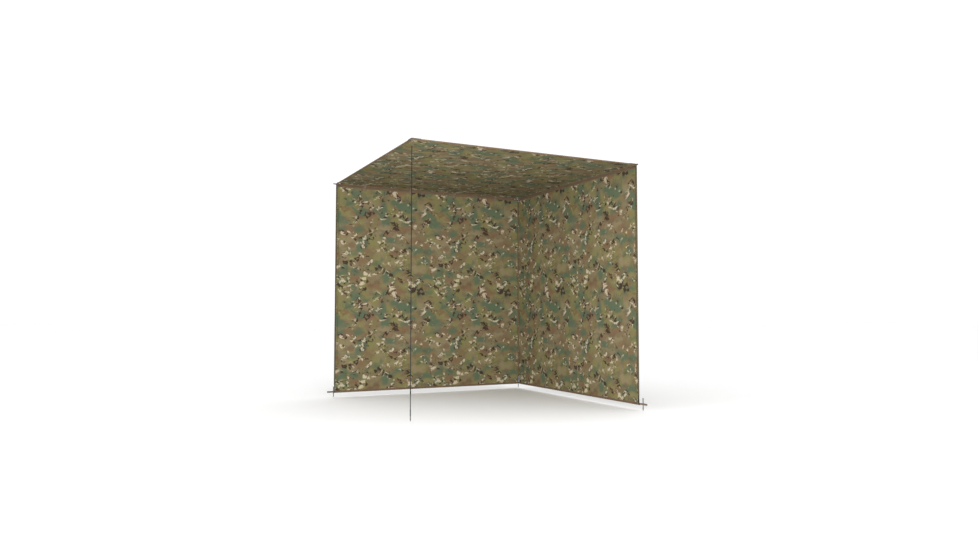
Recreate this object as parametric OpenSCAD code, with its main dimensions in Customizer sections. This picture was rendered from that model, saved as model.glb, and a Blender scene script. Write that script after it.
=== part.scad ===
// Field blind for outdoor use: two fabric walls and a flat fabric roof on a pole frame.
// The walls meet on a corner pole, the other two sides are open.
// +X runs along the back wall, +Y points out through it, and the stake tips stand on z = 0.

/* [Overall] */
// Length of the back wall, pole to pole
back_w = 2000; // [1600:10:2400]
// Length of the side wall, pole to pole
side_d = 2035; // [1700:5:2400]
// Height of the roof rods above the ground line
blind_h = 2000; // [1600:10:2300]
// How far the stakes go below the ground line
stake_depth = 42; // [20:1:80]

/* [Poles] */
// Outer diameter of the pole and rod tubes
pole_d = 6.2; // [5.5:0.1:6.4]
// Wall of the tubes
pole_wall = 1; // [0.8:0.1:1.2]
// Sections in each upright and each roof rod
sections = 3; // [2:1:5]
// Length of the spigot inside each joint
spigot_len = 70; // [40:5:100]
// Outer diameter of the ferrule above the ground spike
ferrule_d = 8.4; // [7.6:0.1:8.4]
// Height of the ferrule's lower end above the ground line
ferrule_z = 190; // [150:5:300]
// Length of the ferrule
ferrule_len = 36; // [30:1:60]

/* [Fabric] */
// Outer diameter of the pole sleeves
sleeve_d = 12; // [12:0.5:14]
// Bore of the pole sleeves
sleeve_bore = 8.8; // [8.8:0.1:9.6]
// Thickness of the fabric panels
panel_t = 1.4; // [1:0.1:1.6]
// Height of the hem bands
hem_h = 20; // [15:1:30]
// Thickness of the hem bands
hem_t = 2.4; // [2:0.1:2.6]
// Knuckles that the two walls share on the corner pole
knuckles = 7; // [5:2:11]
// Webbing loops that hang the roof on the back wall
roof_loops = 4; // [3:1:6]

/* [Stakes] */
// Diameter of the stakes
stake_d = 7; // [6:0.5:8]
// Height of a stake's head above the ground line
stake_top = 58; // [45:1:90]
// Width of the webbing in the stake loops
webbing_w = 14; // [12:1:16]
// How far the left stake loop reaches past its pole
left_loop = 66; // [50:1:90]
// How far the right stake loop reaches past its pole
right_loop = 88; // [60:1:110]
// How far the corner stake loop reaches past its pole
corner_loop = 30; // [25:1:45]

/* [Hidden] */
$fn = 48;
eps = 0.01;

// Fits: a rod in its socket, and a pin in its knuckle
socket_gap = 0.05;
socket_d = pole_d + 2 * socket_gap;
pin_d = 4;

// Wall planes stand just outside the sleeves, so that the walls can fold and no light shows beside the knuckles
panel_out = sleeve_d / 2 + 0.3 + panel_t;
edge_u = 0.3;
panel_mid = panel_out - panel_t / 2;
hem_out = panel_mid + hem_t / 2;
hem_in = panel_mid - hem_t / 2;
flange_w = 28;
flange_t = 1.4;
roof_out = sleeve_d / 2;
// The roof cloth stops short of the back rod, clear of the hinge loops when the roof is turned right over
roof_back = hem_in + 0.4;

// Heights above the ground line
hub_r = 6;
cap_top = blind_h - hub_r - 0.3;
cap_len = 22;
cap_r = 5.5;
hem_top = blind_h - hub_r - 0.3;
ledge_t = 1.2;
sleeve_top = blind_h - 31;
sleeve_low = 78;
seat = 18;
pole_top = cap_top - 5;
pole_low = ferrule_z + seat;
pivot_z = blind_h - 20;
knuckle_low = blind_h - 50;
front_pole_top = knuckle_low + seat;

// Ground spike
spike_d = 6;
spike_rod_d = 6.1;
collar_d = 7.4;
collar_z = [38, 84];
spike_point = 8;

// Roof hubs and rods
arm = 34;
rod_stop = 10;
tip_reach = 33;
hub_tail = 20;
patch = 80;
patch_t = 1.2;
// The back patches stop short of the back rod, so that the roof can turn right over
patch_in = 10;
notch = 42;
sleeve_gap = 36;

// Stake loops: an oblong ring of webbing on the wall's outer face
web_t = 1.5;
loop_r = 6.5;
loop_v = hem_out + 0.4 + loop_r;
loop_z = 3;
stake_u = [5, 7, 37];
stake_head_d = 11;
stake_head_t = 3;
stake_point = 12;

// Hinge loops of webbing round the roof's back rod
ring_r = 3.5;
hinge_w = 25;
hinge_gap = 2;
hinge_tail = 50;
loop_x = [for (i = [0 : roof_loops - 1]) -back_w * (0.14 + 0.72 * i / (roof_loops - 1))];

// The origin is the centre of the whole footprint, level with the stake tips
x_low = -back_w - left_loop;
x_high = corner_loop;
y_low = -side_d - right_loop;
y_high = loop_v + loop_r;
origin = [-(x_low + x_high) / 2, -(y_low + y_high) / 2, stake_depth];

module at_corner() {
    translate(origin) children();
}

module at_left() {
    at_corner() translate([-back_w, 0, 0]) children();
}

module at_right() {
    at_corner() translate([0, -side_d, 0]) children();
}

module at_front() {
    at_corner() translate([-back_w, -side_d, 0]) children();
}

// A box from its lowest corner to its highest
module block(low, high) {
    translate(low) cube(high - low);
}

// A bar of radius r along X, from x0 to x1, on the roof rods' level
module bar_x(x0, x1, r) {
    translate([x0, 0, blind_h]) rotate([0, 90, 0]) cylinder(r = r, h = x1 - x0);
}

// The same along Y
module bar_y(y0, y1, r) {
    translate([0, y0, blind_h]) rotate([-90, 0, 0]) cylinder(r = r, h = y1 - y0);
}

// ---- Uprights ----

module tube(len) {
    difference() {
        cylinder(d = pole_d, h = len);
        translate([0, 0, -1]) cylinder(d = pole_d - 2 * pole_wall, h = len + 2);
    }
}

// Tube sections standing end to end
module tube_sections(low, high) {
    piece = (high - low) / sections;
    color([0.08, 0.08, 0.08])
        for (i = [0 : sections - 1])
            translate([0, 0, low + i * piece]) tube(piece);
}

module spigots(low, high) {
    piece = (high - low) / sections;
    color([0.75, 0.75, 0.77])
        for (i = [1 : sections - 1])
            translate([0, 0, low + i * piece - spigot_len / 2])
                cylinder(d = pole_d - 2 * pole_wall - 0.1, h = spigot_len);
}

module ferrule() {
    color([0.07, 0.07, 0.07])
        difference() {
            translate([0, 0, ferrule_z]) cylinder(d = ferrule_d, h = ferrule_len);
            translate([0, 0, ferrule_z - 1]) cylinder(d = socket_d, h = ferrule_len + 2);
        }
}

module spike() {
    color([0.1, 0.1, 0.1]) {
        cylinder(r1 = 1, r2 = spike_d / 2, h = spike_point);
        translate([0, 0, spike_point]) cylinder(d = spike_d, h = collar_z[0] - spike_point);
        translate([0, 0, collar_z[0]]) cylinder(d = collar_d, h = collar_z[1] - collar_z[0]);
        translate([0, 0, collar_z[1]])
            cylinder(d = spike_rod_d, h = ferrule_z + seat - 1 - collar_z[1]);
    }
}

module pole_cap() {
    color([0.09, 0.09, 0.09])
        difference() {
            translate([0, 0, cap_top - cap_len]) cylinder(r = cap_r, h = cap_len);
            translate([0, 0, cap_top - cap_len - 1]) cylinder(d = socket_d, h = cap_len - 4);
        }
}

// ---- Walls, drawn with their length along -X and their outer face towards +Y ----

module wall_panel(len) {
    color([0.45, 0.43, 0.33])
        block([-len + edge_u, panel_out - panel_t, hem_h], [-edge_u, panel_out, hem_top - hem_h]);
}

// The top hem is turned in under the roof's edge as a narrow ledge, open where a hinge loop passes
module wall_top_hem(len, gaps = []) {
    color([0.42, 0.35, 0.27])
        union() {
            block([-len + 8, hem_in, hem_top - hem_h], [-8, hem_out, hem_top]);
            difference() {
                block([-len + 8, 0, hem_top - ledge_t], [-8, hem_in + eps, hem_top]);
                for (x = gaps)
                    block([x - hinge_w / 2 - 1, -1, hem_top - 5], [x + hinge_w / 2 + 1, hem_in, hem_top + 1]);
            }
        }
}

module wall_bottom_hem(len) {
    color([0.42, 0.35, 0.27])
        block([-len - 6, hem_in, 0], [-8, hem_out, hem_h]);
}

// A sleeve round a pole, with the flange that is sewn to the wall; dir is -1 towards -X
module sleeve(low, high, dir) {
    color([0.40, 0.36, 0.27])
        difference() {
            union() {
                translate([0, 0, low]) cylinder(d = sleeve_d, h = high - low);
                translate([dir > 0 ? 2 : -flange_w, panel_out - panel_t - flange_t, low])
                    cube([flange_w - 2, flange_t, high - low]);
            }
            translate([0, 0, low - 1]) cylinder(d = sleeve_bore, h = high - low + 2);
        }
}

// Every second knuckle on the corner pole, from the first or the second one up
module corner_sleeve(first) {
    pitch = (sleeve_top - sleeve_low) / knuckles;
    for (i = [first : 2 : knuckles - 1])
        sleeve(sleeve_low + i * pitch + 2, sleeve_low + (i + 1) * pitch - 2, -1);
}

// The side wall is the same construction, turned to run along -Y with its face towards +X
module side() {
    mirror([1, -1, 0]) children();
}

// A stake loop past a pole, reaching out along +X; tail is its sewn end inside the pole
module stake_loop(reach, near) {
    u0 = near + loop_r;
    u1 = reach - loop_r;
    color([0.45, 0.39, 0.34])
        union() {
            difference() {
                oblong(u0, u1, loop_r, loop_z, webbing_w);
                oblong(u0, u1, loop_r - web_t, loop_z - 1, webbing_w + 2);
            }
            block([-45, loop_v - loop_r, loop_z], [u0, loop_v - loop_r + web_t, loop_z + webbing_w]);
            block([-45, hem_out, loop_z], [-9, loop_v - loop_r + eps, loop_z + webbing_w]);
        }
}

module oblong(u0, u1, r, z, h) {
    translate([u0, loop_v, z]) cylinder(r = r, h = h);
    translate([u1, loop_v, z]) cylinder(r = r, h = h);
    translate([u0, loop_v - r, z]) cube([u1 - u0, 2 * r, h]);
}

module stake(u) {
    low = -stake_depth;
    color([0.35, 0.35, 0.34])
        translate([u, loop_v, 0]) {
            translate([0, 0, low]) cylinder(r1 = 1.2, r2 = stake_d / 2, h = stake_point);
            translate([0, 0, low + stake_point])
                cylinder(d = stake_d, h = stake_top - stake_head_t - low - stake_point);
            translate([0, 0, stake_top - stake_head_t])
                cylinder(d = stake_head_d, h = stake_head_t);
        }
}

// ---- Back wall ----

module back_wall_panel() { at_corner() wall_panel(back_w); }

module back_wall_top_hem() { at_corner() wall_top_hem(back_w, loop_x); }

module back_wall_bottom_hem() { at_corner() wall_bottom_hem(back_w); }

module left_pole_sleeve() { at_left() sleeve(sleeve_low, sleeve_top, 1); }

module back_wall_corner_sleeve() { at_corner() corner_sleeve(0); }

module roof_hinge_loops() {
    color([0.45, 0.39, 0.34])
        at_corner()
            for (x = loop_x)
                difference() {
                    union() {
                        translate([x, 0, 0]) bar_x(-hinge_w / 2, hinge_w / 2, ring_r + web_t);
                        block([x - hinge_w / 2, hem_in - web_t, blind_h - hinge_tail],
                              [x + hinge_w / 2, hem_in, blind_h]);
                    }
                    translate([x, 0, 0]) bar_x(-hinge_w, hinge_w, ring_r);
                }
}

module left_pole() { at_left() tube_sections(pole_low, pole_top); }

module corner_pole() { at_corner() tube_sections(pole_low, pole_top); }

module back_pole_spigots() {
    at_left() spigots(pole_low, pole_top);
    at_corner() spigots(pole_low, pole_top);
}

module left_pole_ferrule() { at_left() ferrule(); }

module corner_pole_ferrule() { at_corner() ferrule(); }

module left_pole_cap() { at_left() pole_cap(); }

module corner_pole_cap() { at_corner() pole_cap(); }

module left_stake_loop() { at_left() mirror([1, 0, 0]) stake_loop(left_loop, -8); }

module corner_stake_loop() { at_corner() stake_loop(corner_loop, -6); }

module left_spike() { at_left() spike(); }

module corner_spike() { at_corner() spike(); }

module left_stake() { at_left() mirror([1, 0, 0]) stake(stake_u[0]); }

module corner_stake() { at_corner() stake(stake_u[1]); }

// ---- Side wall ----

module side_wall_panel() { at_corner() side() wall_panel(side_d); }

module side_wall_top_hem() { at_corner() side() wall_top_hem(side_d); }

module side_wall_bottom_hem() { at_corner() side() wall_bottom_hem(side_d); }

module side_wall_corner_sleeve() { at_corner() side() corner_sleeve(1); }

module right_pole_sleeve() { at_right() side() sleeve(sleeve_low, sleeve_top, 1); }

module right_pole() { at_right() tube_sections(pole_low, pole_top); }

module right_pole_spigots() { at_right() spigots(pole_low, pole_top); }

module right_pole_ferrule() { at_right() ferrule(); }

module right_pole_cap() { at_right() pole_cap(); }

module right_stake_loop() { at_right() side() mirror([1, 0, 0]) stake_loop(right_loop, 10); }

module right_spike() { at_right() spike(); }

module right_stake() { at_right() side() mirror([1, 0, 0]) stake(stake_u[2]); }

// ---- Roof ----

// A sleeve along X from x0 to x1, its flange under the roof on the -Y side
module rod_sleeve(x0, x1) {
    color([0.42, 0.35, 0.27])
        difference() {
            union() {
                bar_x(x0, x1, sleeve_d / 2);
                block([x0, -flange_w, blind_h + roof_out - panel_t - flange_t],
                      [x1, -2, blind_h + roof_out - panel_t]);
            }
            bar_x(x0 - 1, x1 + 1, sleeve_bore / 2);
        }
}

// A quarter turn that lays an X sleeve along Y, with its flange towards the roof
module along_y(inward) {
    rotate([0, 0, inward > 0 ? 90 : -90]) children();
}

module roof_panel() {
    color([0.44, 0.42, 0.32])
        at_corner()
            difference() {
                block([-back_w + 5, -side_d + 5, blind_h + roof_out - panel_t],
                      [-5, -roof_back, blind_h + roof_out]);
                for (x = [-back_w, 0], y = [-side_d, 0])
                    block([x - notch, y - notch, blind_h], [x + notch, y + notch, blind_h + 10]);
            }
}

module roof_back_sleeve() {
    half = hinge_w / 2 + hinge_gap;
    lows = concat([-back_w + sleeve_gap], [for (i = [roof_loops - 1 : -1 : 0]) loop_x[i] + half]);
    highs = concat([for (i = [roof_loops - 1 : -1 : 0]) loop_x[i] - half], [-sleeve_gap]);
    at_corner()
        for (i = [0 : roof_loops])
            rod_sleeve(lows[i], highs[i]);
}

module roof_front_sleeve() {
    at_right() mirror([0, 1, 0]) rod_sleeve(-back_w + sleeve_gap, -sleeve_gap);
}

module roof_left_sleeve() {
    at_left() along_y(1) rod_sleeve(-side_d + sleeve_gap, -sleeve_gap);
}

module roof_right_sleeve() {
    at_right() along_y(-1) rod_sleeve(-side_d + sleeve_gap, -sleeve_gap);
}

module roof_corner_patches() {
    color([0.40, 0.33, 0.26])
        at_corner()
            for (x = [-back_w - 6, 6 - patch], y = [[-side_d - 6, -side_d - 6 + patch], [-patch, -patch_in]])
                block([x, y[0], blind_h + roof_out],
                      [x + patch, y[1], blind_h + roof_out + patch_t]);
}

// Tube sections lying end to end along +X from the origin
module rod(len) {
    translate([0, 0, blind_h]) rotate([0, 90, 0]) tube_sections(0, len);
}

module rod_joints(len) {
    translate([0, 0, blind_h]) rotate([0, 90, 0]) spigots(0, len);
}

back_rod_x = -back_w - tip_reach + 5;
back_rod_len = 2 - back_rod_x;
left_rod_len = side_d - 2 * rod_stop;
right_rod_len = side_d - rod_stop + 2;
front_rod_len = back_w - rod_stop - 2;

module place_back_rod() { at_corner() translate([back_rod_x, 0, 0]) children(); }

module place_front_rod() { at_front() translate([2, 0, 0]) children(); }

module place_left_rod() { at_front() translate([0, rod_stop, 0]) rotate([0, 0, 90]) children(); }

module place_right_rod() { at_right() translate([0, -2, 0]) rotate([0, 0, 90]) children(); }

module roof_back_rod() { place_back_rod() rod(back_rod_len); }

module roof_front_rod() { place_front_rod() rod(front_rod_len - 2); }

module roof_left_rod() { place_left_rod() rod(left_rod_len); }

module roof_right_rod() { place_right_rod() rod(right_rod_len - 2); }

module roof_rod_spigots() {
    place_back_rod() rod_joints(back_rod_len);
    place_front_rod() rod_joints(front_rod_len - 2);
    place_left_rod() rod_joints(left_rod_len);
    place_right_rod() rod_joints(right_rod_len - 2);
}

// Moulded elbow; x and y are the spans of its two barrels, and sx and sy those of its sockets
module elbow(x, y, sx, sy) {
    color([0.36, 0.29, 0.22])
        difference() {
            union() {
                bar_x(x[0], x[1], hub_r);
                bar_y(y[0], y[1], hub_r);
            }
            bar_x(sx[0], sx[1], socket_d / 2);
            bar_y(sy[0], sy[1], socket_d / 2);
        }
}

module left_hub() {
    at_left() elbow([-12, arm], [-arm, 0], [-13, arm + 1], [-arm - 1, -rod_stop + 1]);
}

module corner_hub() {
    at_corner() elbow([-arm, 8], [-arm, 0], [-arm - 1, 3], [-arm - 1, -rod_stop + 1]);
}

module right_hub() {
    at_right() elbow([-arm, 0], [-hub_tail, arm], [-arm - 1, -rod_stop + 1], [-3, arm + 1]);
}

module front_hub() {
    at_front() {
        elbow([-6, arm], [0, arm], [1, arm + 1], [rod_stop - 1, arm + 1]);
        color([0.36, 0.29, 0.22])
            for (y = [-6, 6])
                difference() {
                    union() {
                        block([-6, y - 1.5, pivot_z], [6, y + 1.5, blind_h]);
                        translate([0, y - 1.5, pivot_z]) rotate([-90, 0, 0]) cylinder(r = 6, h = 3);
                    }
                    translate([0, y - 3, pivot_z]) rotate([-90, 0, 0]) cylinder(d = pin_d, h = 6);
                }
    }
}

module front_pivot_pin() {
    color([0.6, 0.6, 0.6])
        at_front() translate([0, -7.5, pivot_z]) rotate([-90, 0, 0]) cylinder(d = pin_d, h = 15);
}

module back_rod_tip() {
    color([0.07, 0.07, 0.07])
        at_left()
            difference() {
                bar_x(-tip_reach, -12.3, 4.6);
                bar_x(-tip_reach + 5, -11, socket_d / 2);
            }
}

// ---- Front pole ----

module front_pole() { at_front() tube_sections(pole_low, front_pole_top); }

module front_pole_spigots() { at_front() spigots(pole_low, front_pole_top); }

module front_pole_ferrule() { at_front() ferrule(); }

module front_pole_knuckle() {
    color([0.36, 0.29, 0.22])
        at_front()
            difference() {
                union() {
                    block([-6, -4.2, knuckle_low + 14], [6, 4.2, pivot_z]);
                    translate([0, -4.2, pivot_z]) rotate([-90, 0, 0]) cylinder(r = 6, h = 8.4);
                    translate([0, 0, knuckle_low]) cylinder(r = 5, h = 19);
                }
                translate([0, -5, pivot_z]) rotate([-90, 0, 0]) cylinder(d = pin_d + 0.1, h = 10);
                translate([0, 0, knuckle_low - 1]) cylinder(d = socket_d, h = seat + 1);
            }
}

module front_spike() { at_front() spike(); }

back_wall_panel();
back_wall_top_hem();
back_wall_bottom_hem();
left_pole_sleeve();
back_wall_corner_sleeve();
roof_hinge_loops();
left_pole();
corner_pole();
back_pole_spigots();
left_pole_ferrule();
corner_pole_ferrule();
left_pole_cap();
corner_pole_cap();
left_stake_loop();
corner_stake_loop();
side_wall_panel();
side_wall_top_hem();
side_wall_bottom_hem();
side_wall_corner_sleeve();
right_pole_sleeve();
right_pole();
right_pole_spigots();
right_pole_ferrule();
right_pole_cap();
right_stake_loop();
roof_panel();
roof_back_sleeve();
roof_front_sleeve();
roof_left_sleeve();
roof_right_sleeve();
roof_corner_patches();
roof_back_rod();
roof_front_rod();
roof_left_rod();
roof_right_rod();
roof_rod_spigots();
left_hub();
corner_hub();
right_hub();
front_hub();
front_pivot_pin();
back_rod_tip();
front_pole();
front_pole_spigots();
front_pole_ferrule();
front_pole_knuckle();
left_spike();
corner_spike();
right_spike();
front_spike();
left_stake();
corner_stake();
right_stake();
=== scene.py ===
"""The looks of the field blind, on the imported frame.

Printed cloth, folded hems, sewn sleeves, webbing, stitching, and the finishes of the hard parts."""
import math

import bmesh
import bpy
import numpy as np
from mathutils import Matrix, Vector, noise


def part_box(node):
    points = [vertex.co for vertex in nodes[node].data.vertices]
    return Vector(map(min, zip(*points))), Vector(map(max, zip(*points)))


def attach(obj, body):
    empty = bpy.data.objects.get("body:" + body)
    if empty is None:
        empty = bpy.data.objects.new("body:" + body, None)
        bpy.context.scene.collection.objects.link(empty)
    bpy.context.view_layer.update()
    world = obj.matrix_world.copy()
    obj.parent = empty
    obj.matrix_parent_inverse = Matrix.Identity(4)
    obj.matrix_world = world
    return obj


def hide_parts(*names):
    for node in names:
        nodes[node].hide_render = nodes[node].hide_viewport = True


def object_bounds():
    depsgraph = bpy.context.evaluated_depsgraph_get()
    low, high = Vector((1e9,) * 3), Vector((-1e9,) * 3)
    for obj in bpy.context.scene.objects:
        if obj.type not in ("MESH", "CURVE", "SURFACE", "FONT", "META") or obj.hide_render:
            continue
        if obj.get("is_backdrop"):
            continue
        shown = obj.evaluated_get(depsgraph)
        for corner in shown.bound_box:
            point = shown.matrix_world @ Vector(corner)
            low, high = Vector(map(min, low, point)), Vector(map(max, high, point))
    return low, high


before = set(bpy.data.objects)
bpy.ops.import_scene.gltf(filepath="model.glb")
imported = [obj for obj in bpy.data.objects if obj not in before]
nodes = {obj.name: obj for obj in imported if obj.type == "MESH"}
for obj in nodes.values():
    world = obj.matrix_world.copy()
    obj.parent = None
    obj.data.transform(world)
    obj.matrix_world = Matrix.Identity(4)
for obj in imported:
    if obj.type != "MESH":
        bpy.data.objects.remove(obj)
cad_low, cad_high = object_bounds()
scene = bpy.context.scene
MM = 0.001


def centre(node):
    low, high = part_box(node)
    return (low + high) / 2


corner = centre("corner_pole")
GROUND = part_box("back_wall_bottom_hem")[0].z

# ---------------------------------------------------------------- camera and light

camera_data = bpy.data.cameras.new("camera")
camera = bpy.data.objects.new("camera", camera_data)
scene.collection.objects.link(camera)
scene.camera = camera
camera_data.sensor_width = 36
camera_data.lens = 26.68
camera_data.clip_start = 0.02
camera_data.clip_end = 200
camera.location = (corner.x - 3.8173, corner.y - 6.8501, GROUND + 0.7571)
camera.rotation_euler = (math.radians(93.01), 0, math.radians(-26.82))

scene.view_settings.view_transform = "Standard"

world = bpy.data.worlds.new("studio")
scene.world = world
world.use_nodes = True
world.node_tree.nodes["Background"].inputs["Color"].default_value = (1, 1, 1, 1)
world.node_tree.nodes["Background"].inputs["Strength"].default_value = 1.08


def area_light(name, place, target, size, power):
    data = bpy.data.lights.new(name, "AREA")
    data.shape = "DISK"
    data.size = size
    data.energy = power
    lamp = bpy.data.objects.new(name, data)
    lamp.location = place
    lamp.rotation_euler = (Vector(target) - Vector(place)).to_track_quat("-Z", "Y").to_euler()
    scene.collection.objects.link(lamp)


area_light("front_soft", (-0.5, -13.0, 1.5), (0.4, 0.6, 1.1), 5.0, 90)
area_light("side_soft", (-13.0, -1.5, 1.5), (0.8, 0.1, 1.1), 5.0, 620)
area_light("low_soft", (-1.7, -5.0, 0.25), (0.7, 0.4, 2.0), 2.4, 600)

# ---------------------------------------------------------------- positions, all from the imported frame

left = centre("left_pole")
right = centre("right_pole")
front = centre("front_pole")
back_rod = centre("roof_back_rod")
ROD = (back_rod.z - GROUND) / MM
BACK = (corner.x - left.x) / MM
SIDE = (corner.y - right.y) / MM
HEM = (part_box("back_wall_bottom_hem")[1].z - GROUND) / MM
HEM_TOP = (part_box("back_wall_top_hem")[1].z - GROUND) / MM
HEM_LOW = (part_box("back_wall_top_hem")[0].z - GROUND) / MM
V_IN = (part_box("back_wall_bottom_hem")[0].y - corner.y) / MM
V_OUT = (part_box("back_wall_bottom_hem")[1].y - corner.y) / MM
V_MID = (V_IN + V_OUT) / 2
SLEEVE = (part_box("left_pole_sleeve")[0].z - GROUND) / MM, (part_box("left_pole_sleeve")[1].z - GROUND) / MM


# Wall coordinates in millimetres: along the wall from the corner pole, out of it, and up from the ground line
def on_back(p):
    return np.stack([corner.x - p[..., 0] * MM, corner.y + p[..., 1] * MM, GROUND + p[..., 2] * MM], -1)


def on_side(p):
    return np.stack([corner.x + p[..., 1] * MM, corner.y - p[..., 0] * MM, GROUND + p[..., 2] * MM], -1)


def roof_height(p):
    return GROUND + (ROD + p[..., 2]) * MM


# Roof coordinates: each edge has its own, along the edge, inwards from the rod, and up from the rods' level
def on_roof_back(p):
    return np.stack([corner.x - p[..., 0] * MM, corner.y - p[..., 1] * MM, roof_height(p)], -1)


def on_roof_right(p):
    return np.stack([corner.x - p[..., 1] * MM, corner.y - p[..., 0] * MM, roof_height(p)], -1)


def on_roof_left(p):
    return np.stack([left.x + p[..., 1] * MM, corner.y - p[..., 0] * MM, roof_height(p)], -1)


def on_roof_front(p):
    return np.stack([corner.x - p[..., 0] * MM, right.y + p[..., 1] * MM, roof_height(p)], -1)


# ---------------------------------------------------------------- mesh tools


def rough(x, y=0.0, z=0.0, seed=0.0):
    """Smooth noise from -1 to 1."""
    return noise.noise(Vector((x + 17.3 * seed, y - 9.1 * seed, z + 5.7 * seed)))


def link(name, data, materials, body):
    obj = bpy.data.objects.new(name, data)
    scene.collection.objects.link(obj)
    for m in materials:
        data.materials.append(m)
    if body:
        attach(obj, body)
    return obj


def mesh_piece(name, verts, faces, uvs, materials, body, mats=None, smooth=True, recalc=True):
    """uvs is one (u, v) for each corner of each face, in the faces' order, or None."""
    data = bpy.data.meshes.new(name)
    data.from_pydata([tuple(map(float, v)) for v in verts], [], [tuple(int(i) for i in f) for f in faces])
    if uvs is not None:
        layer = data.uv_layers.new(name="UVMap")
        layer.data.foreach_set("uv", np.asarray(uvs, np.float32).ravel())
    if mats is not None:
        data.polygons.foreach_set("material_index", np.asarray(mats, np.int32))
    if recalc:
        bm = bmesh.new()
        bm.from_mesh(data)
        bmesh.ops.recalc_face_normals(bm, faces=bm.faces)
        bm.to_mesh(data)
        bm.free()
    data.polygons.foreach_set("use_smooth", [smooth] * len(data.polygons))
    data.update()
    return link(name, data, materials, body)


def sweep(rings, along, around, seg_mats=None, uv_of=None, caps=True):
    """Faces of a tube through rings (n, m, 3), a closed outline each. Returns verts, faces, uvs, mats."""
    n, m = rings.shape[:2]
    verts = rings.reshape(-1, 3)
    faces, uvs, mats = [], [], []
    for i in range(n - 1):
        for j in range(m):
            k = (j + 1) % m
            faces.append((i * m + j, i * m + k, (i + 1) * m + k, (i + 1) * m + j))
            if uv_of:
                uvs += [uv_of(i, j, 0), uv_of(i, j, 1), uv_of(i + 1, j, 1), uv_of(i + 1, j, 0)]
            else:
                a, b, s, t = along[i], along[i + 1], around[j], around[j + 1]
                uvs += [(a, s), (a, t), (b, t), (b, s)]
            mats.append(seg_mats[j] if seg_mats else 0)
    if caps:
        for ring, at in ((0, along[0]), (n - 1, along[-1])):
            faces.append(tuple(ring * m + j for j in (range(m) if ring else reversed(range(m)))))
            uvs += [(at, around[j]) for j in (range(m) if ring else reversed(range(m)))]
            mats.append(0)
    return verts, faces, uvs, mats


class Bundle:
    """Collects several swept parts into one mesh."""

    def __init__(self):
        self.verts, self.faces, self.uvs, self.mats, self.count = [], [], [], [], 0

    def add(self, verts, faces, uvs, mats):
        self.verts.append(np.asarray(verts, float))
        self.faces += [tuple(i + self.count for i in f) for f in faces]
        self.uvs += list(uvs)
        self.mats += list(mats)
        self.count += len(verts)

    def piece(self, name, materials, body, smooth=True):
        verts = np.concatenate(self.verts)
        return mesh_piece(name, verts, self.faces, self.uvs, materials, body, self.mats, smooth)


def arc(cx, cy, r, a0, a1, steps):
    return [(cx + r * math.cos(math.radians(a0 + (a1 - a0) * i / steps)),
             cy + r * math.sin(math.radians(a0 + (a1 - a0) * i / steps))) for i in range(steps + 1)]


def spaced(points, step):
    """Points along a polyline, no further apart than step."""
    out = [points[0]]
    for a, b in zip(points, points[1:]):
        n = max(1, math.ceil(math.dist(a, b) / step))
        out += [tuple(a[k] + (b[k] - a[k]) * i / n for k in range(len(a))) for i in range(1, n + 1)]
    return out


def lengths(points):
    total, out = 0.0, [0.0]
    for a, b in zip(points, points[1:]):
        total += math.dist(a, b)
        out.append(total)
    return out


# One sewn stitch: a short thread that rises from the cloth and dives back, as (along, up, across)
STITCH_RING = ((1, 0), (0.4, 0.5), (-0.3, 0), (0.4, -0.5))
STITCH = np.array([(-0.5, -0.25, 0)]
                  + [(t, n, s) for t in (-0.3, 0.3) for n, s in STITCH_RING]
                  + [(0.5, -0.25, 0)], float)
STITCH_FACES = ([(0, 1 + (k + 1) % 4, 1 + k) for k in range(4)]
                + [(1 + k, 1 + (k + 1) % 4, 5 + (k + 1) % 4, 5 + k) for k in range(4)]
                + [(5 + k, 5 + (k + 1) % 4, 9) for k in range(4)])


class Thread:
    """Rows of stitches, gathered into one mesh for each body."""

    def __init__(self):
        self.parts, self.count = [], 0

    def row(self, place, points, normals, pitch=5.0, size=3.3, rise=0.32, width=0.55):
        """place maps millimetres to the frame; points and normals are triples in those coordinates."""
        points = np.asarray(points, float)
        normals = np.asarray(normals, float)
        steps = np.linalg.norm(np.diff(points, axis=0), axis=1)
        dist = np.concatenate([[0], np.cumsum(steps)])
        n = max(1, int(dist[-1] / pitch))
        at = (np.arange(n) + 0.5) * dist[-1] / n
        mid = np.stack([np.interp(at, dist, points[:, k]) for k in range(3)], -1)
        up = np.stack([np.interp(at, dist, normals[:, k]) for k in range(3)], -1)
        seg = np.clip(np.searchsorted(dist, at, side="right") - 1, 0, len(steps) - 1)
        tan = np.diff(points, axis=0)[seg] / steps[seg][:, None]
        up /= np.linalg.norm(up, axis=1)[:, None]
        side = np.cross(tan, up)
        # A small slant, as a lockstitch has
        tan = tan + 0.05 * side
        t = STITCH * (size, rise, width)
        v = (mid[:, None] + tan[:, None] * t[None, :, 0:1] + up[:, None] * t[None, :, 1:2]
             + side[:, None] * t[None, :, 2:3])
        self.parts.append(place(v))
        self.count += n

    def piece(self, name, material, body):
        v = np.concatenate(self.parts)
        n = len(v)
        faces = [tuple(i * len(STITCH) + k for k in f) for i in range(n) for f in STITCH_FACES]
        one = np.array([(STITCH[k, 0], STITCH[k, 2]) for f in STITCH_FACES for k in f])
        return mesh_piece(name, v.reshape(-1, 3), faces, np.tile(one * 0.003, (n, 1)), [material], body)


# ---------------------------------------------------------------- material tools


def lin(r, g, b, gain=1.0):
    def f(c):
        c /= 255
        return gain * (c / 12.92 if c <= 0.04045 else ((c + 0.055) / 1.055) ** 2.4)
    return (f(r), f(g), f(b), 1)


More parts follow.
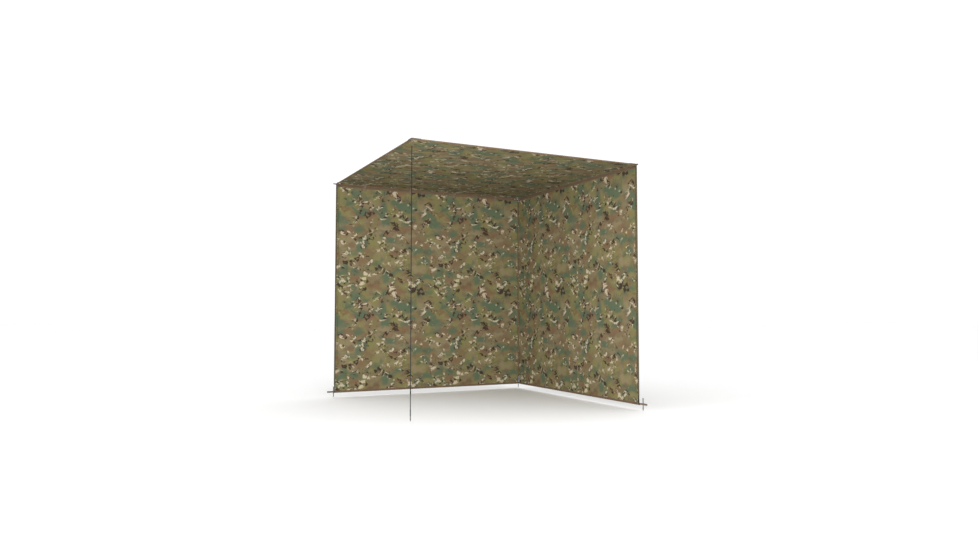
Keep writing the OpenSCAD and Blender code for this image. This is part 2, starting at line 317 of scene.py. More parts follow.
class Shader:
    """A material under construction, with short names for the nodes it uses."""

    def __init__(self, name):
        self.material = bpy.data.materials.new(name)
        self.material.use_nodes = True
        self.tree = self.material.node_tree
        self.bsdf = self.tree.nodes["Principled BSDF"]

    def node(self, kind, **props):
        n = self.tree.nodes.new(kind)
        for k, v in props.items():
            setattr(n, k, v)
        return n

    def put(self, socket, value):
        if isinstance(value, bpy.types.NodeSocket):
            self.tree.links.new(value, socket)
        else:
            socket.default_value = value

    def math(self, op, a, b=0.0, c=0.0):
        n = self.node("ShaderNodeMath", operation=op)
        for s, v in zip(n.inputs, (a, b, c)):
            self.put(s, v)
        return n.outputs[0]

    def mix(self, fac, a, b, blend="MIX"):
        n = self.node("ShaderNodeMix", data_type="RGBA", blend_type=blend)
        self.put(n.inputs["Factor"], fac)
        self.put(n.inputs[6], a)
        self.put(n.inputs[7], b)
        return n.outputs[2]

    def smooth(self, value, low, high, out_low=0.0, out_high=1.0):
        n = self.node("ShaderNodeMapRange", interpolation_type="SMOOTHSTEP")
        names = ("Value", "From Min", "From Max", "To Min", "To Max")
        for k, v in zip(names, (value, low, high, out_low, out_high)):
            self.put(n.inputs[k], v)
        return n.outputs[0]

    def noise(self, vector, scale, detail=2.0, roughness=0.5, w=None):
        n = self.node("ShaderNodeTexNoise", noise_dimensions="4D" if w is not None else "3D")
        self.put(n.inputs["Vector"], vector)
        if w is not None:
            self.put(n.inputs["W"], w)
        self.put(n.inputs["Scale"], scale)
        self.put(n.inputs["Detail"], detail)
        self.put(n.inputs["Roughness"], roughness)
        return n.outputs["Fac"]

    def combine(self, x, y, z=0.0):
        n = self.node("ShaderNodeCombineXYZ")
        for s, v in zip(n.inputs, (x, y, z)):
            self.put(s, v)
        return n.outputs[0]

    def uv(self):
        n = self.node("ShaderNodeSeparateXYZ")
        self.put(n.inputs[0], self.node("ShaderNodeUVMap", uv_map="UVMap").outputs[0])
        return n.outputs[0], n.outputs[1]

    def place(self):
        return self.node("ShaderNodeTexCoord").outputs["Object"]

    def scaled(self, vector, scale):
        n = self.node("ShaderNodeVectorMath", operation="MULTIPLY")
        self.put(n.inputs[0], vector)
        self.put(n.inputs[1], scale)
        return n.outputs[0]

    def bump(self, height, strength, distance, normal=None):
        n = self.node("ShaderNodeBump")
        self.put(n.inputs["Height"], height)
        self.put(n.inputs["Strength"], strength)
        self.put(n.inputs["Distance"], distance)
        if normal is not None:
            self.put(n.inputs["Normal"], normal)
        return n.outputs[0]

    def finish(self, color, roughness, normal=None, metallic=0.0, sheen=0.0, ior=1.5):
        b = self.bsdf.inputs
        self.put(b["Base Color"], color)
        self.put(b["Roughness"], roughness)
        self.put(b["Metallic"], metallic)
        self.put(b["Sheen Weight"], sheen)
        self.put(b["IOR"], ior)
        if normal is not None:
            self.put(b["Normal"], normal)
        self.material.diffuse_color = (0.4, 0.37, 0.3, 1)
        return self.material


def weave(s, u, v, pitch):
    """Height of a plain weave whose threads are pitch metres apart, with slubs."""
    k = math.pi / pitch
    a = s.math("SINE", s.math("MULTIPLY", u, k))
    b = s.math("SINE", s.math("MULTIPLY", v, k))
    over = s.math("MULTIPLY", a, b)
    warp = s.math("MULTIPLY", s.math("ABSOLUTE", a), s.math("MAXIMUM", over, 0.0))
    weft = s.math("MULTIPLY", s.math("ABSOLUTE", b), s.math("MAXIMUM", s.math("MULTIPLY", over, -1.0), 0.0))
    threads = s.math("ADD", warp, weft)
    slub = s.noise(s.combine(s.math("MULTIPLY", u, 900), s.math("MULTIPLY", v, 60)), 1.0, 2)
    slub2 = s.noise(s.combine(s.math("MULTIPLY", u, 60), s.math("MULTIPLY", v, 900)), 1.0, 2)
    return s.math("ADD", threads, s.math("MULTIPLY", s.math("ADD", slub, slub2), 0.35))


def print_cloth(name, gain):
    """Matt woven cloth with a generic woodland print.

    Soft blobs and clustered flecks, all made by fields of noise that repeat every metre."""
    s = Shader(name)
    u, v = s.uv()
    turn = 2 * math.pi

    def ring(value):
        a = s.math("MULTIPLY", value, turn)
        return s.math("COSINE", a), s.math("SINE", a)

    def field(cu, su, cv, sv, ru, rv, seed, detail, roughness):
        x = s.math("MULTIPLY_ADD", cu, ru, 3.1 + 7.7 * seed)
        y = s.math("MULTIPLY_ADD", su, ru, 1.7 - 4.3 * seed)
        z = s.math("MULTIPLY_ADD", cv, rv, 2.9 + 2.1 * seed)
        w = s.math("MULTIPLY_ADD", sv, rv, 0.7 + 5.9 * seed)
        return s.noise(s.combine(x, y, z), 1.0, detail, roughness, w=w)

    plain = ring(u) + ring(v)
    # The blobs' edges wander, so the coordinates are warped by fields that repeat as well
    wu = s.math("MULTIPLY", s.math("SUBTRACT", field(*plain, 2.2, 2.4, 1, 3, 0.55), 0.5), 0.10)
    wv = s.math("MULTIPLY", s.math("SUBTRACT", field(*plain, 2.4, 2.2, 2, 3, 0.55), 0.5), 0.075)
    bent = ring(s.math("ADD", u, wu)) + ring(s.math("ADD", v, wv))

    shade = field(*bent, 0.95, 1.9, 3, 2, 0.5)
    sage = field(*bent, 1.05, 1.35, 4, 3, 0.5)
    brown = field(*bent, 1.05, 1.7, 5, 3, 0.5)
    olive = field(*bent, 1.5, 0.95, 6, 3, 0.5)
    dark = field(*bent, 2.0, 2.6, 7, 3, 0.55)
    gate = field(*bent, 1.7, 1.9, 8, 2, 0.5)
    gate2 = field(*bent, 1.8, 2.0, 9, 2, 0.5)
    fleck = field(*bent, 3.9, 4.8, 10, 3, 0.60)
    fleck2 = field(*bent, 3.5, 4.5, 11, 3, 0.60)

    c = s.mix(s.smooth(shade, 0.36, 0.64), lin(115, 99, 73, gain), lin(133, 120, 91, gain))
    c = s.mix(s.math("MULTIPLY", s.smooth(olive, 0.42, 0.62), 0.90), c, lin(121, 117, 72, gain))
    c = s.mix(s.math("MULTIPLY", s.smooth(brown, 0.49, 0.64), 0.88), c, lin(119, 92, 68, gain))
    c = s.mix(s.math("MULTIPLY", s.smooth(sage, 0.49, 0.62), 0.92), c, lin(84, 99, 77, gain))
    c = s.mix(s.math("MULTIPLY", s.smooth(dark, 0.55, 0.68), 0.5), c, lin(85, 76, 57, gain))
    either = s.math("MAXIMUM", gate, gate2)
    darks = s.math("MULTIPLY", s.smooth(either, 0.545, 0.60), s.smooth(fleck, 0.50, 0.55))
    c = s.mix(darks, c, lin(62, 49, 40, gain))
    creams = s.math("MULTIPLY", s.smooth(gate, 0.515, 0.585), s.smooth(fleck2, 0.535, 0.58))
    c = s.mix(creams, c, lin(186, 173, 147, gain))

    # Thread-level variation and faintly worn areas
    height = weave(s, u, v, 0.0006)
    tone = s.math("MULTIPLY_ADD", height, 0.10, 0.93)
    c = s.mix(1.0, c, s.combine(tone, tone, tone), "MULTIPLY")
    worn = s.noise(s.combine(u, v), 3.0, 4, 0.6)
    c = s.mix(s.math("MULTIPLY", s.smooth(worn, 0.5, 0.75), 0.08), c, lin(150, 142, 122, gain))
    crease = s.noise(s.combine(s.math("MULTIPLY", u, 14), s.math("MULTIPLY", v, 9)), 1.0, 5, 0.55)
    n = s.bump(crease, 0.25, 0.004)
    n = s.bump(height, 0.35, 0.00012, n)
    rough_value = s.smooth(worn, 0.3, 0.7, 0.82, 0.94)
    return s.finish(c, rough_value, n, ior=1.22)


def twill(name, rgb, gain, pitch=0.0011, light=1.25):
    """Narrow woven tape or binding: diagonal twill lines, faded along the edges it rubs."""
    s = Shader(name)
    u, v = s.uv()
    diagonal = s.math("ADD", u, s.math("MULTIPLY", v, 0.8))
    line = s.math("MULTIPLY_ADD", s.math("SINE", s.math("MULTIPLY", diagonal, 2 * math.pi / pitch)), 0.5, 0.5)
    weft = s.math("SINE", s.math("MULTIPLY", v, 2 * math.pi / (pitch * 0.6)))
    cross = s.math("MULTIPLY_ADD", weft, 0.5, 0.5)
    height = s.math("MULTIPLY_ADD", cross, 0.35, line)
    mottle = s.noise(s.combine(s.math("MULTIPLY", u, 16), s.math("MULTIPLY", v, 60)), 1.0, 4, 0.6)
    base = s.mix(s.smooth(mottle, 0.3, 0.7), lin(*rgb, gain * 0.86), lin(*rgb, gain * 1.14))
    tone = s.math("MULTIPLY_ADD", height, 0.16, 0.88)
    base = s.mix(1.0, base, s.combine(tone, tone, tone), "MULTIPLY")
    edge = s.node("ShaderNodeNewGeometry").outputs["Pointiness"]
    base = s.mix(s.math("MULTIPLY", s.smooth(edge, 0.52, 0.60), 0.35), base, lin(*rgb, gain * light * 1.3))
    fuzz = s.noise(s.place(), 1400.0, 2, 0.6)
    n = s.bump(fuzz, 0.2, 0.0002)
    n = s.bump(height, 0.55, 0.00022, n)
    return s.finish(base, s.smooth(mottle, 0.2, 0.8, 0.80, 0.93), n, ior=1.25)


def webbing(name, rgb, gain):
    """Ribbed webbing: u runs along it and v across it."""
    s = Shader(name)
    u, v = s.uv()
    rib = s.math("ABSOLUTE", s.math("SINE", s.math("MULTIPLY", v, math.pi / 0.0014)))
    zig = s.math("ABSOLUTE", s.math("SINE", s.math("ADD", s.math("MULTIPLY", u, math.pi / 0.0016),
                                                 s.math("MULTIPLY", rib, 1.2))))
    height = s.math("MULTIPLY_ADD", zig, 0.5, rib)
    mottle = s.noise(s.combine(s.math("MULTIPLY", u, 60), s.math("MULTIPLY", v, 400)), 1.0, 4, 0.6)
    base = s.mix(s.smooth(mottle, 0.3, 0.7), lin(*rgb, gain * 0.84), lin(*rgb, gain * 1.16))
    tone = s.math("MULTIPLY_ADD", height, 0.22, 0.80)
    base = s.mix(1.0, base, s.combine(tone, tone, tone), "MULTIPLY")
    dirt = s.noise(s.place(), 35.0, 4, 0.6)
    base = s.mix(s.math("MULTIPLY", s.smooth(dirt, 0.5, 0.72), 0.3), base, lin(96, 86, 70, gain))
    n = s.bump(height, 0.8, 0.00035)
    return s.finish(base, 0.78, n, ior=1.3)


def thread(name, rgb, gain):
    """Sewing thread with its twist."""
    s = Shader(name)
    u, v = s.uv()
    turns = s.math("ADD", u, s.math("MULTIPLY", v, 1.4))
    ply = s.math("SINE", s.math("MULTIPLY", turns, 2 * math.pi / 0.0006))
    height = s.math("MULTIPLY_ADD", ply, 0.5, 0.5)
    mottle = s.noise(s.place(), 90.0, 3)
    base = s.mix(s.smooth(mottle, 0.3, 0.7), lin(*rgb, gain * 0.9), lin(*rgb, gain * 1.1))
    tone = s.math("MULTIPLY_ADD", height, 0.25, 0.8)
    base = s.mix(1.0, base, s.combine(tone, tone, tone), "MULTIPLY")
    return s.finish(base, 0.7, s.bump(height, 0.5, 0.0001), sheen=0.05, ior=1.35)


def painted_tube(name, rgb, axis, gain=1.0):
    """Black coated tube: fine scratches along it, scuffs and a little dust."""
    s = Shader(name)
    p = s.place()
    stretch = [1800.0, 1800.0, 1800.0]
    stretch[axis] = 12.0
    scratch = s.noise(s.scaled(p, tuple(stretch)), 1.0, 3, 0.65)
    scuff = s.noise(p, 45.0, 5, 0.62)
    peel = s.noise(p, 700.0, 2, 0.5)
    base = s.mix(s.smooth(scuff, 0.35, 0.7), lin(*rgb, gain * 0.8), lin(*rgb, gain * 1.25))
    marks = s.math("MULTIPLY", s.smooth(scratch, 0.62, 0.70), s.smooth(scuff, 0.5, 0.65))
    base = s.mix(s.math("MULTIPLY", marks, 0.5), base, lin(110, 108, 104))
    n = s.bump(s.math("MULTIPLY_ADD", scratch, 0.4, peel), 0.18, 0.00012)
    return s.finish(base, s.smooth(scuff, 0.25, 0.75, 0.45, 0.65), n, ior=1.27)


def bare_metal(name, rgb, axis, rough_low, rough_high, dirt=0.0):
    """Drawn or brushed metal along one axis, with tarnish and earth on it where dirt is given."""
    s = Shader(name)
    p = s.place()
    stretch = [2400.0, 2400.0, 2400.0]
    stretch[axis] = 30.0
    grain = s.noise(s.scaled(p, tuple(stretch)), 1.0, 3, 0.7)
    tarnish = s.noise(p, 70.0, 5, 0.6)
    base = s.mix(s.smooth(tarnish, 0.3, 0.72), lin(*rgb, 1.0), lin(*rgb, 0.55))
    metal = 0.85
    roughness = s.smooth(grain, 0.3, 0.7, rough_low, rough_high)
    if dirt:
        soil = s.noise(p, 130.0, 5, 0.65)
        mask = s.math("MULTIPLY", s.smooth(soil, 0.45, 0.62), dirt)
        base = s.mix(mask, base, lin(92, 78, 62))
        roughness = s.math("MAXIMUM", roughness, s.math("MULTIPLY", mask, 0.9))
        metal = s.math("MULTIPLY_ADD", mask, -0.8, 0.85)
    n = s.bump(grain, 0.3, 0.0001)
    return s.finish(base, roughness, n, metallic=metal)


def moulded(name, rgb, gain, roughness, grain=900.0, round_mm=0.5):
    """Moulded plastic or rubber: fine spark texture, softened edges and rubbed corners."""
    s = Shader(name)
    p = s.place()
    spark = s.noise(p, grain, 3, 0.6)
    flow = s.noise(s.scaled(p, (40.0, 40.0, 90.0)), 1.0, 4, 0.55)
    base = s.mix(s.smooth(flow, 0.3, 0.7), lin(*rgb, gain * 0.88), lin(*rgb, gain * 1.12))
    edge = s.node("ShaderNodeNewGeometry").outputs["Pointiness"]
    base = s.mix(s.math("MULTIPLY", s.smooth(edge, 0.54, 0.62), 0.4), base, lin(*rgb, gain * 1.7))
    corner_round = s.node("ShaderNodeBevel", samples=4)
    corner_round.inputs["Radius"].default_value = round_mm * MM
    n = s.bump(spark, 0.3, 0.00015, corner_round.outputs[0])
    return s.finish(base, s.smooth(flow, 0.2, 0.8, roughness - 0.06, roughness + 0.06), n)


GAIN = 0.66
cloth = print_cloth("print_fabric", GAIN)
hem_tape = twill("hem_fabric", (106, 88, 68), GAIN)
edge_tape = twill("sleeve_edge_fabric", (84, 76, 58), GAIN)
seam_tape = twill("sleeve_seam_fabric", (104, 90, 64), GAIN)
strap = webbing("webbing_brown", (116, 100, 86), GAIN)
sewing = thread("thread_brown", (84, 70, 52), GAIN)
sewing_light = thread("thread_tan", (100, 86, 64), GAIN)
tube_z = painted_tube("tube_black_upright", (14, 14, 14), 2)
tube_x = painted_tube("tube_black_rod_x", (14, 14, 14), 0)
tube_y = painted_tube("tube_black_rod_y", (14, 14, 14), 1)
ferrule_black = painted_tube("ferrule_black", (18, 18, 18), 2)
spike_steel = painted_tube("spike_steel", (26, 26, 27), 2, 1.2)
spigot_alloy = bare_metal("spigot_alloy", (200, 201, 204), 2, 0.28, 0.42)
stake_steel = painted_tube("stake_steel", (24, 24, 23), 2, 1.2)
pin_steel = bare_metal("pin_steel", (176, 176, 176), 1, 0.25, 0.4)
cap_black = moulded("cap_black", (36, 35, 34), 1.1, 0.55)
hub_nylon = moulded("hub_nylon", (82, 64, 47), GAIN, 0.58)
tip_rubber = moulded("tip_rubber", (38, 37, 36), 1.1, 0.8, 500.0, 0.6)

# ---------------------------------------------------------------- the walls' and roof's cloth


def sheet_grid(name, place, print_uv, body, u_span, w_span, offset, step=12.5, cut=None):
    """A sheet of cloth in wall or roof coordinates; offset(u, w) moves it out of its plane."""
    nu = max(2, round((u_span[1] - u_span[0]) / step))
    nw = max(2, round((w_span[1] - w_span[0]) / step))
    us = np.linspace(*u_span, nu + 1)
    ws = np.linspace(*w_span, nw + 1)
    if cut:
        for line in cut:
            us[np.abs(us - line[0]).argmin()] = line[0]
            ws[np.abs(ws - line[1]).argmin()] = line[1]
    verts, uv = [], []
    for w in ws:
        for u in us:
            verts.append(place(np.array((u, w, offset(u, w)))))
            uv.append(print_uv(u, w))
    m = nu + 1
    faces, uvs = [], []
    for j in range(nw):
        for i in range(nu):
            uc, wc = (us[i] + us[i + 1]) / 2, (ws[j] + ws[j + 1]) / 2
            if cut and any(cu * (uc - lu) > 0 and cw * (wc - lw) > 0 for lu, lw, cu, cw in cut):
                continue
            f = (j * m + i, j * m + i + 1, (j + 1) * m + i + 1, (j + 1) * m + i)
            faces.append(f)
            uvs += [uv[k] for k in f]
    used = sorted({k for f in faces for k in f})
    at = {k: i for i, k in enumerate(used)}
    faces = [tuple(at[k] for k in f) for f in faces]
    return mesh_piece(name, [verts[k] for k in used], faces, uvs, [cloth], body, recalc=False)


def thicken(obj, mm):
    m = obj.modifiers.new("thickness", "SOLIDIFY")
    m.thickness = mm * MM
    m.offset = 0
    m.use_rim = True


def edge_fade(value, low, high, near, far):
    """0 close to either end of a span, 1 further than far from both."""
    d = min(value - low, high - value)
    t = min(max((d - near) / (far - near), 0.0), 1.0)
    return t * t * (3 - 2 * t)


def wall_offset(length, seed):
    def f(u, w):
        body = edge_fade(u, 0, length, 40, 320) * edge_fade(w, 0, HEM_TOP, 40, 320)
        near = edge_fade(u, 0, length, 28, 60) * edge_fade(w, HEM, HEM_LOW, 0, 26)
        close = 1 - edge_fade(w, HEM, HEM_LOW, 30, 170)
        slow = 2.6 * rough(u / 420, w / 900, seed=seed) + 1.4 * rough(u / 190, w / 520, seed=seed + 1)
        pucker = 0.7 * math.sin(u / 13.5 + 2.2 * rough(u / 120, w / 200, seed=seed + 2)) * close
        return V_MID + body * slow + near * pucker
    return f


def upright_back(p):
    return on_back(np.stack([p[..., 0], p[..., 2], p[..., 1]], -1))


def upright_side(p):
    return on_side(np.stack([p[..., 0], p[..., 2], p[..., 1]], -1))


EDGE = 0.5
INNER = 6.5
FREE = 3.8
back_cloth = sheet_grid("back_wall_cloth", upright_back, lambda u, w: (2.0 - u * MM, w * MM), "back_wall",
                        (EDGE, BACK - EDGE), (1.6, HEM_TOP - 1.6), wall_offset(BACK, 1.0))
thicken(back_cloth, 1.05)
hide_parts("back_wall_panel")
side_cloth = sheet_grid("side_wall_cloth", upright_side, lambda u, w: (u * MM, w * MM), "side_wall",
                        (EDGE, SIDE - EDGE), (1.6, HEM_TOP - 1.6), wall_offset(SIDE, 5.0))
thicken(side_cloth, 1.05)
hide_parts("side_wall_panel")

PANEL_Z = (centre("roof_panel").z - GROUND) / MM - ROD
NOTCH = 42.0
ROOF_SAG = 5.5


def roof_offset(u, w):
    body = edge_fade(u, 0, BACK, 60, 700) * edge_fade(w, 0, SIDE, 60, 700)
    ripple = edge_fade(u, 0, BACK, 50, 260) * edge_fade(w, 0, SIDE, 50, 260)
    waves = 1.5 * rough(u / 380, w / 520, seed=9) + 0.8 * rough(u / 170, w / 210, seed=11)
    return PANEL_Z - ROOF_SAG * body + ripple * waves


roof_cuts = [(NOTCH, NOTCH, -1, -1), (BACK - NOTCH, NOTCH, 1, -1), (NOTCH, SIDE - NOTCH, -1, 1),
             (BACK - NOTCH, SIDE - NOTCH, 1, 1)]
roof_cloth = sheet_grid("roof_cloth", on_roof_back, lambda u, w: (2.0 - u * MM, w * MM), "roof",
                        (FREE, BACK - FREE), (INNER, SIDE - FREE), roof_offset, cut=roof_cuts)
thicken(roof_cloth, 0.8)
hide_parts("roof_panel")

# ---------------------------------------------------------------- hems: a folded strip over the cloth's edge

back_thread, side_thread, roof_thread = Thread(), Thread(), Thread()


LEDGE_REACH = 3.0
LEDGE_TAPER = 0.036


def hem(name, place, span, fold, lip, body, node, seed, ledge=()):
    """A U-shaped binding between u = span, folded at height fold, with its open edge at height lip."""
    s = 1 if lip > fold else -1
    h = abs(lip - fold)
    o, i, t = V_OUT - 0.05, V_IN + 0.05, 0.58
    outline = [(o - 0.12, h), (o, h - 0.4), (o, h * 0.5), (o, 1.5), (o - 0.35, 0.5),
               (V_MID + 0.45, 0.08), (V_MID, 0.0), (V_MID - 0.45, 0.08),
               (i + 0.35, 0.5), (i, 1.5), (i, h * 0.5), (i, h - 0.4), (i + 0.12, h),
               (i + t - 0.1, h), (i + t, h - 0.3), (i + t, 1.9), (V_MID, 0.75),
               (o - t, 1.9), (o - t, h - 0.3), (o - t + 0.1, h)]
    us = np.arange(span[0], span[1] + 0.01, (span[1] - span[0]) / round((span[1] - span[0]) / 12))
    rings = []
    for u in us:
        ring = []
        for v, w in outline:
            k = w / h
            lean = 0.10 * rough(u / 34, seed=seed) * k
            wave = 0.30 * rough(u / 60, seed=seed + (3 if v > V_MID else 4)) * k
            ring.append((u, v + lean, fold + s * min(max(w - 0.3 * k + wave, 0.0), h)))
        rings.append(ring)
    around = np.array(lengths(outline + [outline[0]])) * MM
    parts = Bundle()
    parts.add(*sweep(place(np.array(rings)), us * MM, around))
    sew = back_thread if body == "back_wall" else side_thread
    # The top hems are turned in under the roof's edge as a narrow ledge
    for a, b in ledge:
        flat = [(V_IN + 0.3, -0.06), (V_IN * 0.5, -0.03), (0.75, -0.03), (0.25, -0.25), (0.12, -0.6),
                (0.25, -0.95), (0.75, -1.12), (V_IN * 0.5, -1.08), (V_IN + 0.3, -1.10)]
        ts = np.linspace(a, b, max(3, round((b - a) / 12)))
        # Its free edge reaches under the rod's sleeve, and less far near the corner pole
        shelf = []
        for t in ts:
            edge = 0.10 * rough(t / 40, seed=seed + 6) - min(LEDGE_REACH, LEDGE_TAPER * (t - span[0]))
            shelf.append([(t, v + edge * (v < 2), fold + w) for v, w in flat])
        parts.add(*sweep(place(np.array(shelf)), ts * MM, np.array(lengths(flat + [flat[0]])) * MM))
        sew.row(place, [(a + 3, 2.2, fold - 1.12), (b - 3, 2.2, fold - 1.12)], [(0, 0, -1)] * 2)
    obj = parts.piece(name, [hem_tape], body)
    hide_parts(node)
    for w in (3.6, h - 2.6):
        for v, out in ((o, 1.0), (i, -1.0)):
            y, z = v + out * 0.06, fold + s * w
            sew.row(place, [(span[0] + 3, y, z), (span[1] - 3, y, z)], [(0, out, 0)] * 2)
    return obj


HEM_START = 8.0
HEM_PAST = 6.0
hem("back_wall_bottom_binding", on_back, (HEM_START, BACK + HEM_PAST), 0.0, HEM,
    "back_wall", "back_wall_bottom_hem", 21)
hem("side_wall_bottom_binding", on_side, (HEM_START, SIDE + HEM_PAST), 0.0, HEM,
    "side_wall", "side_wall_bottom_hem", 23)
# The hinge loops stand along the back wall, and the ledge is open round each
HINGE_X = [BACK * (0.14 + 0.24 * k) for k in range(4)]
HINGE_OPEN = 13.7
ledge_ends = [HEM_START]
for x in HINGE_X:
    ledge_ends += [x - HINGE_OPEN, x + HINGE_OPEN]
ledge_ends.append(BACK - HEM_START)
hem("back_wall_top_binding", on_back, (HEM_START, BACK - HEM_START), HEM_TOP, HEM_LOW,
    "back_wall", "back_wall_top_hem", 25, list(zip(ledge_ends[::2], ledge_ends[1::2])))
hem("side_wall_top_binding", on_side, (HEM_START, SIDE - HEM_START), HEM_TOP, HEM_LOW,
    "side_wall", "side_wall_top_hem", 27, [(HEM_START, SIDE - HEM_START)])

# ---------------------------------------------------------------- sleeves: a tape round each pole

FLANGE = 28.0
# Pitch and length of the finer stitches
FINE = (4.2, 2.9)
# The tape's outline in (across, out): the facing under the cloth, once round the pole, and back
TAPE = 0.75
ROUND = 5.58


WALL_FACING = (V_IN + 0.35, V_IN - 0.85, 84, 40, 52, 80)
ROOF_FACING = (4.30, 3.07, 62, 25, 31, 58)


def sleeve_outline(facing):
    """Closed outline of the folded tape round the pole's axis, and how many points its outer side has."""
    top, low, top_out, low_out, low_in, top_in = facing
    mid = (top + low) / 2
    outer_r, inner_r = ROUND + TAPE / 2, ROUND - TAPE / 2
    outer = [(FLANGE, top), (FLANGE * 0.6, top), (8.5, top)] + arc(0, 0, outer_r, top_out, 360 + low_out, 22)
    outer += [(8.8, low), (FLANGE * 0.6, low), (FLANGE, low)]
    inner = [(FLANGE, mid - 0.03), (FLANGE * 0.6, mid - 0.03), (8.0, mid - 0.03)]
    inner += arc(0, 0, inner_r, 360 + low_in, top_in, 20)
    inner += [(8.0, mid + 0.03), (FLANGE * 0.6, mid + 0.03), (FLANGE, mid + 0.03)]
    return outer + inner, len(outer)


def sleeve(bundle, sew, place, print_uv, facing, low, high, sign, at, seed, rim=True):
    """A sleeve whose pole stands at 'at', between low and high; sign is the way its facing goes."""
    outline, outer_count = sleeve_outline(facing)
    count = max(6, round((high - low) / 11))
    ts = list(np.linspace(low + 5, high - 5, count))
    ts = [low, low + 1.2, low + 3.0] + ts + [high - 3.0, high - 1.2, high]
    rings = []
    for t in ts:
        ring = []
        near = min(t - low, high - t)
        swell = 0.12 * max(0.0, 1 - near / 6.0) if rim else 0.0
        for k, (x, y) in enumerate(outline):
            r = math.hypot(x, y)
            if r < 7.5:
                a = math.atan2(y, x)
                f = 0.09 * rough(2.1 * math.cos(a), 2.1 * math.sin(a), t / 24, seed=seed)
                f += 0.05 * rough(math.cos(a), math.sin(a), t / 150, seed=seed + 1)
                f += swell * (1 if k < outer_count else 0.2)
                x, y = x * (1 + (f - 0.06) / r), y * (1 + (f - 0.06) / r)
            elif x > FLANGE - 1:
                x += 0.35 * rough(t / 45, seed=seed + 2) - 0.4
            ring.append((at + sign * x, y, t))
        rings.append(ring)
    m = len(outline)
    around = np.array(lengths(outline + [outline[0]])) * MM
    seg = [1 if abs(outline[j][0]) > 7.6 and abs(outline[(j + 1) % m][0]) > 7.6 else 0 for j in range(m)]
    pts = np.array(rings)

    def uv_of(i, j, step):
        k = (j + step) % m
        if seg[j]:
            return print_uv(pts[i, k, 0], pts[i, k, 2])
        return (ts[i] * MM, around[j + step])

    bundle.add(*sweep(place(pts), np.array(ts) * MM, around, seg, uv_of))
    inner_face = facing[1]
    for x in (9.5, FLANGE - 3.0):
        u = at + sign * x
        sew.row(place, [(u, inner_face - 0.05, low + 4), (u, inner_face - 0.05, high - 4)], [(0, -1, 0)] * 2)
        if facing is WALL_FACING:
            sew.row(place, [(u, V_MID + 0.56, low + 4), (u, V_MID + 0.56, high - 4)], [(0, 1, 0)] * 2)
    if rim:
        for t in (low + 3.2, high - 3.2):
            ring = arc(0, 0, ROUND + TAPE / 2 + 0.15, 75, 318, 26)
            points = [(at + sign * x, y, t) for x, y in ring]
            sew.row(place, points, [(sign * x, y, 0) for x, y in ring], *FINE)


def back_uv(u, w):
    return (2.0 - u * MM, w * MM)


def side_uv(u, w):
    return (u * MM, w * MM)


left_sleeve = Bundle()
sleeve(left_sleeve, back_thread, on_back, back_uv, WALL_FACING, SLEEVE[0], SLEEVE[1], -1, BACK, 31)
obj = left_sleeve.piece("left_pole_tape", [edge_tape, cloth], "back_wall")
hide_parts("left_pole_sleeve")

right_sleeve = Bundle()
sleeve(right_sleeve, side_thread, on_side, side_uv, WALL_FACING, SLEEVE[0], SLEEVE[1], -1, SIDE, 37)
obj = right_sleeve.piece("right_pole_tape", [edge_tape, cloth], "side_wall")
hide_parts("right_pole_sleeve")

KNUCKLES = 7
KNUCKLE_GAP = 2.0
PITCH = (SLEEVE[1] - SLEEVE[0]) / KNUCKLES
for first, place, uv, body, sew, node, seed in (
        (0, on_back, back_uv, "back_wall", back_thread, "back_wall_corner_sleeve", 41),
        (1, on_side, side_uv, "side_wall", side_thread, "side_wall_corner_sleeve", 47)):
    knuckles = Bundle()
    for k in range(first, KNUCKLES, 2):
        low = SLEEVE[0] + k * PITCH + KNUCKLE_GAP
        high = SLEEVE[0] + (k + 1) * PITCH - KNUCKLE_GAP
        sleeve(knuckles, sew, place, uv, WALL_FACING, low, high, 1, 0.0, seed + k)
    obj = knuckles.piece(body + "_corner_tape", [seam_tape, cloth], body)
    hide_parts(node)


# ---------------------------------------------------------------- the roof's rod sleeves

SLEEVE_GAP = 36.0
HINGE_HALF = 12.5 + 2.0


def rod_place(edge):
    """Sleeve coordinates (inwards, up, along the rod) on one edge of the roof."""
    return lambda p: edge(np.stack([p[..., 2], p[..., 0], p[..., 1]], -1))


def edge_uv(edge):
    def f(inward, along):
        if edge == "back":
            return (2.0 - along * MM, inward * MM)
        if edge == "front":
            return (2.0 - along * MM, (SIDE - inward) * MM)
        if edge == "right":
            return (2.0 - inward * MM, along * MM)
        return (2.0 - (BACK - inward) * MM, along * MM)
    return f


def rod_sleeves(name, node, edge, key, spans, seed):
    bundle = Bundle()
    place = rod_place(edge)
    for k, (a, b) in enumerate(spans):
        sleeve(bundle, roof_thread, place, edge_uv(key), ROOF_FACING, a, b, 1, 0.0, seed + k)
        for x in (9.5, FLANGE - 3.0):
            z = PANEL_Z + 0.42
            roof_thread.row(place, [(x, z, a + 4), (x, z, b - 4)], [(0, 1, 0)] * 2)
    obj = bundle.piece(name, [hem_tape, cloth], "roof")
    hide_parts(node)


stops = [SLEEVE_GAP]
for x in HINGE_X:
    stops += [x - HINGE_HALF, x + HINGE_HALF]
stops.append(BACK - SLEEVE_GAP)
for key, place, spans, seed in (
        ("back", on_roof_back, list(zip(stops[::2], stops[1::2])), 61),
        ("front", on_roof_front, [(SLEEVE_GAP, BACK - SLEEVE_GAP)], 71),
        ("left", on_roof_left, [(SLEEVE_GAP, SIDE - SLEEVE_GAP)], 75),
        ("right", on_roof_right, [(SLEEVE_GAP, SIDE - SLEEVE_GAP)], 79)):
    rod_sleeves("roof_" + key + "_tape", "roof_" + key + "_sleeve", place, key, spans, seed)

# ---------------------------------------------------------------- corner patches on the roof

